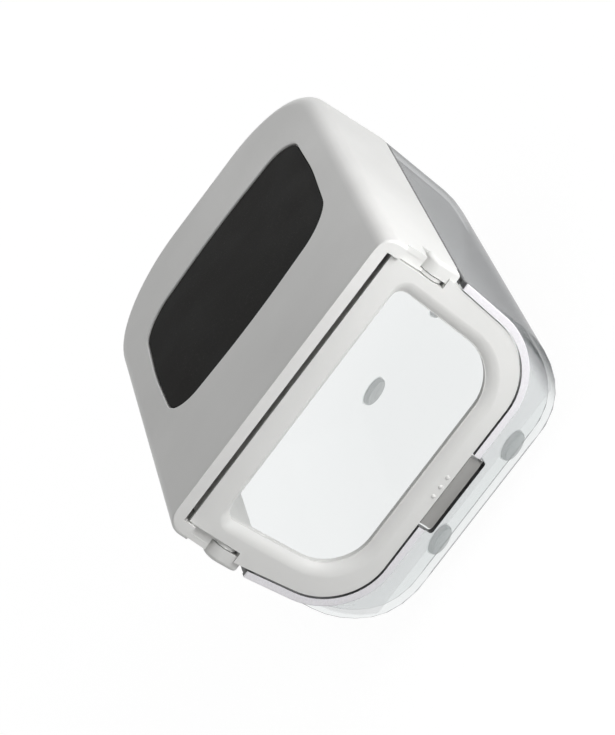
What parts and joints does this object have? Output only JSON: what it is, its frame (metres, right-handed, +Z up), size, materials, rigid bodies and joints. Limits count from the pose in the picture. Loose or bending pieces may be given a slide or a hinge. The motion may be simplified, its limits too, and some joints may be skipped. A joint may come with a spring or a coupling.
{
  "type": "vegetable chopper",
  "caption": "Press-down vegetable chopper: a hinged lid with pegs pushes food through a grid of blades into a clear container that pours from one end.",
  "frame": {"origin": "centre of the footprint, on the surface that the feet stand on", "axes": "+Z up, -Y towards the hinged end with the pour opening, +X to the right of someone who looks at that end; the object is symmetric about X = 0"},
  "size_m": [0.1478, 0.225, 0.106],
  "materials": {
    "white_plastic": "satin moulded white ABS",
    "clear_plastic": "clear polished plastic",
    "soft_black": "soft-touch black",
    "grey_plastic": "satin moulded grey",
    "soft_grey": "soft grey",
    "stainless_steel": "fine brushed"
  },
  "bodies": {
    "container": {"container": "clear_plastic", "foot_1": "soft_grey", "foot_2": "soft_grey", "foot_3": "soft_grey", "foot_4": "soft_grey"},
    "cutting_top": {"cutting_frame": "white_plastic", "pour_panel": "white_plastic", "blade_retainer": "grey_plastic", "long_blade_1": "stainless_steel", "long_blade_2": "stainless_steel", "long_blade_3": "stainless_steel", "long_blade_4": "stainless_steel", "long_blade_5": "stainless_steel", "long_blade_6": "stainless_steel", "long_blade_7": "stainless_steel", "cross_blade_1": "stainless_steel", "cross_blade_2": "stainless_steel", "cross_blade_3": "stainless_steel", "cross_blade_4": "stainless_steel", "cross_blade_5": "stainless_steel", "cross_blade_6": "stainless_steel", "cross_blade_7": "stainless_steel", "retainer_screw_1": "stainless_steel", "retainer_screw_2": "stainless_steel", "retainer_screw_3": "stainless_steel", "retainer_screw_4": "stainless_steel", "retainer_screw_5": "stainless_steel", "retainer_screw_6": "stainless_steel", "hinge_pin_left": "stainless_steel", "hinge_pin_right": "stainless_steel", "tongue_pin": "stainless_steel"},
    "release_tongue": {"release_tongue": "grey_plastic"},
    "lid": {"lid_shell": "white_plastic", "grip_pad": "soft_black", "pusher_plate": "grey_plastic", "pusher_screw_1": "stainless_steel", "pusher_screw_2": "stainless_steel", "pusher_screw_3": "stainless_steel", "pusher_screw_4": "stainless_steel"}
  },
  "joints": [
    {"name": "top_lift", "type": "slide", "parent": "container", "child": "cutting_top", "axis": [0, 0, 1], "range_m": [0, 0.08]},
    {"name": "lid_hinge", "type": "hinge", "parent": "cutting_top", "child": "lid", "pos_m": [0, -0.1045, 0.0796], "axis": [1, 0, 0], "range_deg": [0, 95]},
    {"name": "tongue_press", "type": "hinge", "parent": "cutting_top", "child": "release_tongue", "pos_m": [0, -0.1037, 0.0278], "axis": [1, 0, 0], "range_deg": [0, 8], "stiffness_Nm_per_rad": 0.02, "springref_deg": -5.73}
  ]
}
